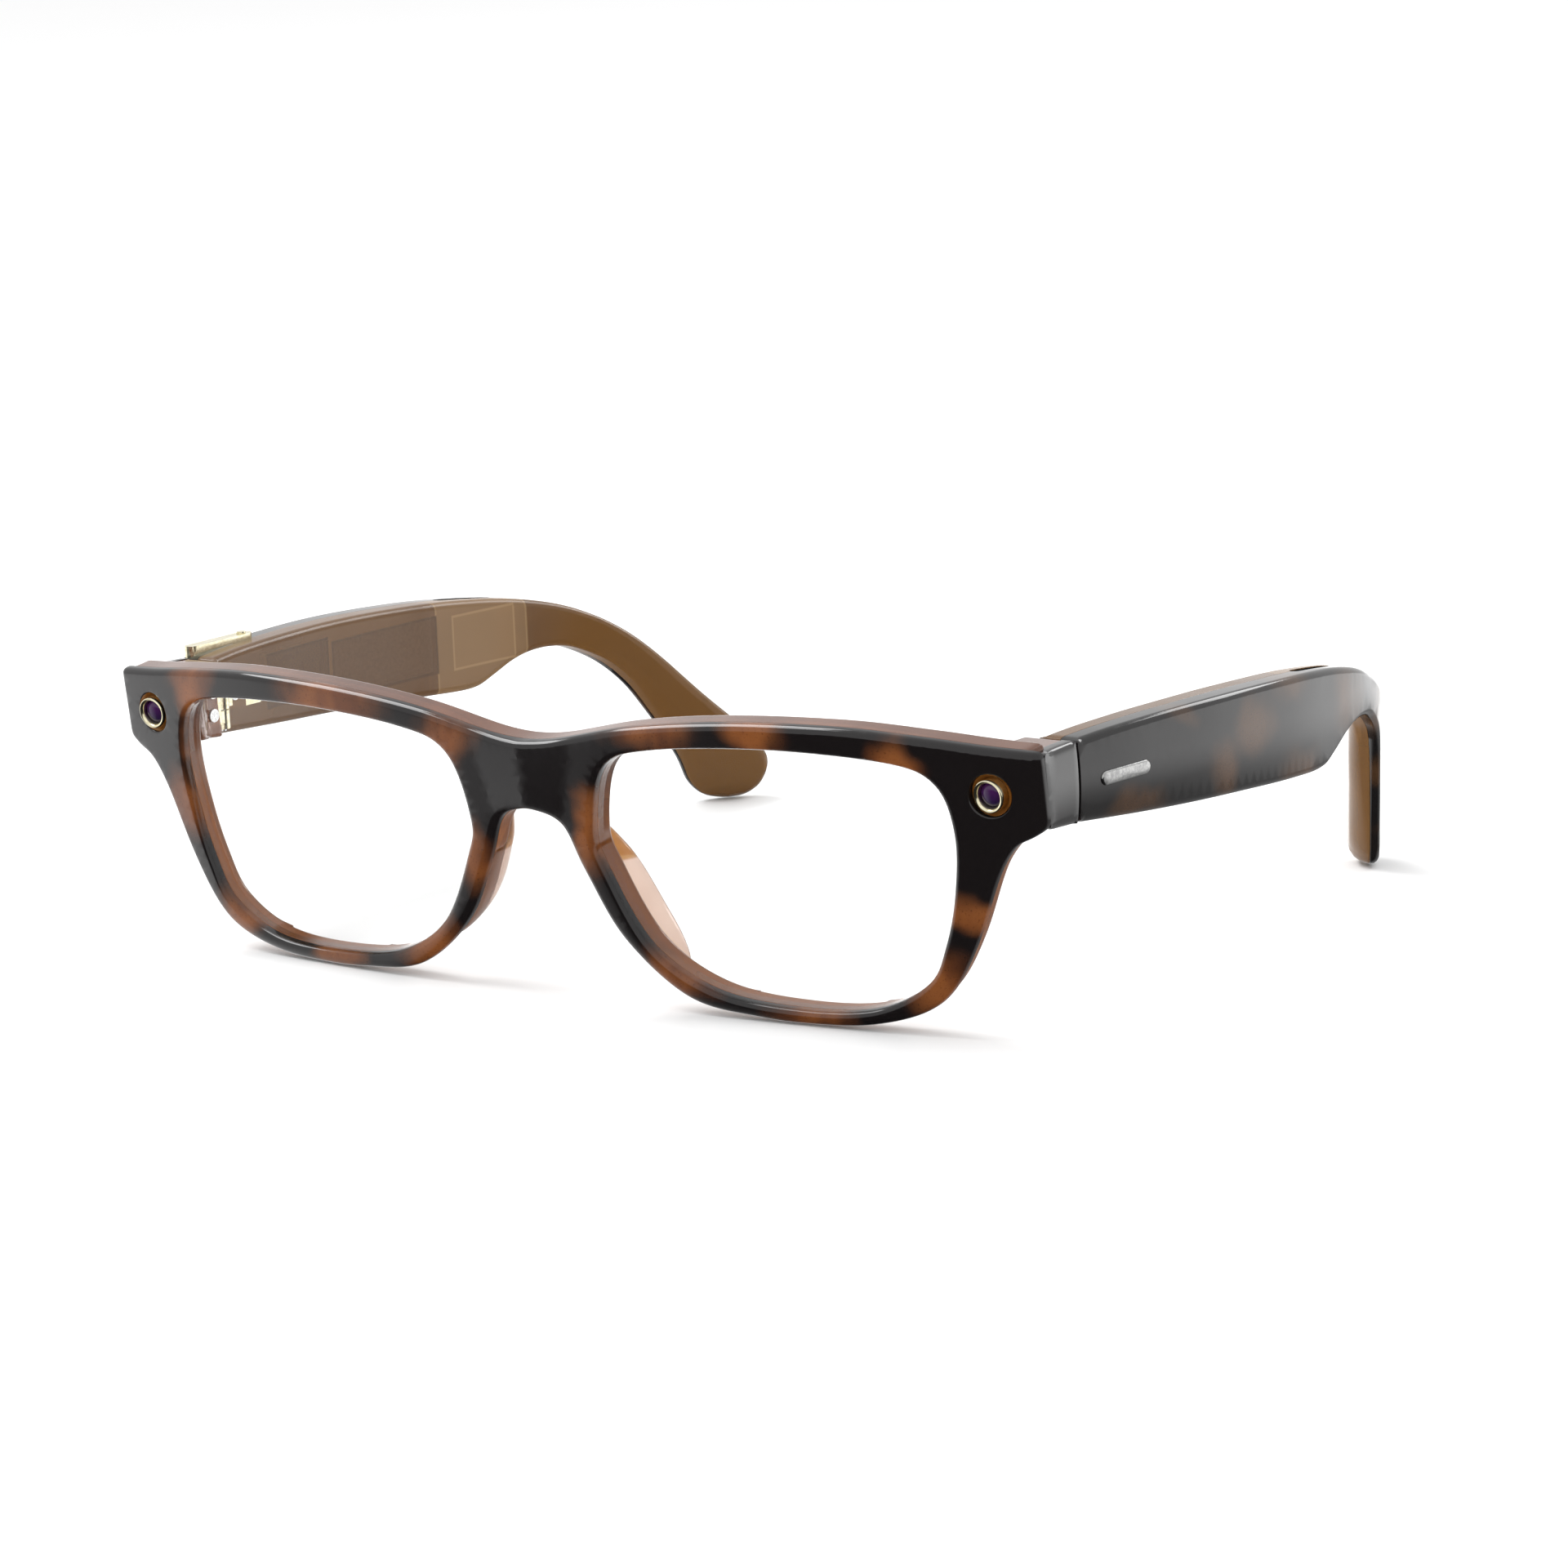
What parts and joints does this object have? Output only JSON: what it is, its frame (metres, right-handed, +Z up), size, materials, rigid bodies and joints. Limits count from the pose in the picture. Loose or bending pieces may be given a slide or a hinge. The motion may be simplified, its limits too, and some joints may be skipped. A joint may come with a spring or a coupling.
{
  "type": "smart glasses",
  "caption": "Rectangular laminated smart glasses with clear lenses, folding electronics temples, camera and indicator ports, a capture button and a power switch",
  "frame": {"origin": "centre of the footprint at the resting surface, under the lowest points of the rims and temple tips", "axes": "+X towards the wearer's left, +Y back towards the temple tips, +Z up"},
  "size_m": [0.1418, 0.1152, 0.037],
  "materials": {
    "tortoise_front": "polished dark tortoise laminate",
    "back_layer": "polished translucent pink-brown laminate",
    "temple_dark": "polished dark tortoise shell",
    "temple_translucent": "polished translucent olive-brown shell",
    "lens": "clear coated lens",
    "pad": "translucent nose pad",
    "champagne_metal": "polished champagne plating",
    "steel": "small turned steel parts",
    "cover_glass": "dark coated cover glass",
    "black_plastic": "black moulded plastic",
    "module_grey": "dark grey module housing",
    "circuit": "solder-masked board",
    "flex": "polyimide flexible circuit",
    "battery_foil": "laminated foil pouch"
  },
  "bodies": {
    "front": {"front_frame": "tortoise_front", "frame_back": "back_layer", "lens_left": "lens", "lens_right": "lens", "nose_pad_left": "pad", "nose_pad_right": "pad", "camera_bezel": "champagne_metal", "camera_window": "cover_glass", "camera_module": "module_grey", "led_bezel": "champagne_metal", "led_window": "cover_glass", "led_board": "circuit", "front_flex": "flex", "charge_contacts": "champagne_metal", "nose_microphone": "black_plastic", "hinge_front_left": "champagne_metal", "hinge_front_right": "champagne_metal", "hinge_pin_left": "steel", "hinge_pin_right": "steel", "hinge_screws_front": "steel"},
    "temple_left": {"temple_outer_left": "temple_dark", "temple_inner_left": "temple_translucent", "hinge_temple_left": "champagne_metal", "battery_left": "battery_foil", "board_left": "circuit", "speaker_left": "module_grey", "speaker_grille_left": "black_plastic", "antenna_left": "flex", "microphones_left": "black_plastic", "emblem_left": "steel", "hinge_screws_left": "steel", "power_switch_base": "module_grey"},
    "temple_right": {"temple_outer_right": "temple_dark", "temple_inner_right": "temple_translucent", "hinge_temple_right": "champagne_metal", "battery_right": "battery_foil", "board_right": "circuit", "speaker_right": "module_grey", "speaker_grille_right": "black_plastic", "touch_sensor": "flex", "microphones_right": "black_plastic", "emblem_right": "steel", "hinge_screws_right": "steel", "button_switch": "black_plastic"},
    "capture_button": {"capture_button": "champagne_metal"},
    "power_switch": {"power_switch": "black_plastic"}
  },
  "joints": [
    {"name": "fold_left", "type": "hinge", "parent": "front", "child": "temple_left", "pos_m": [0.0624, -0.0391, 0.0294], "axis": [0, 0, 1], "range_deg": [0, 84]},
    {"name": "fold_right", "type": "hinge", "parent": "front", "child": "temple_right", "pos_m": [-0.0624, -0.0391, 0.0294], "axis": [0, 0, -1], "range_deg": [0, 76]},
    {"name": "capture_press", "type": "slide", "parent": "temple_right", "child": "capture_button", "axis": [0, 0, -1], "range_m": [0, 0.0003], "stiffness_N_per_m": 800, "springref_m": -0.0003},
    {"name": "power_slide", "type": "slide", "parent": "temple_left", "child": "power_switch", "axis": [0, 1, 0], "range_m": [0, 0.0015]}
  ]
}
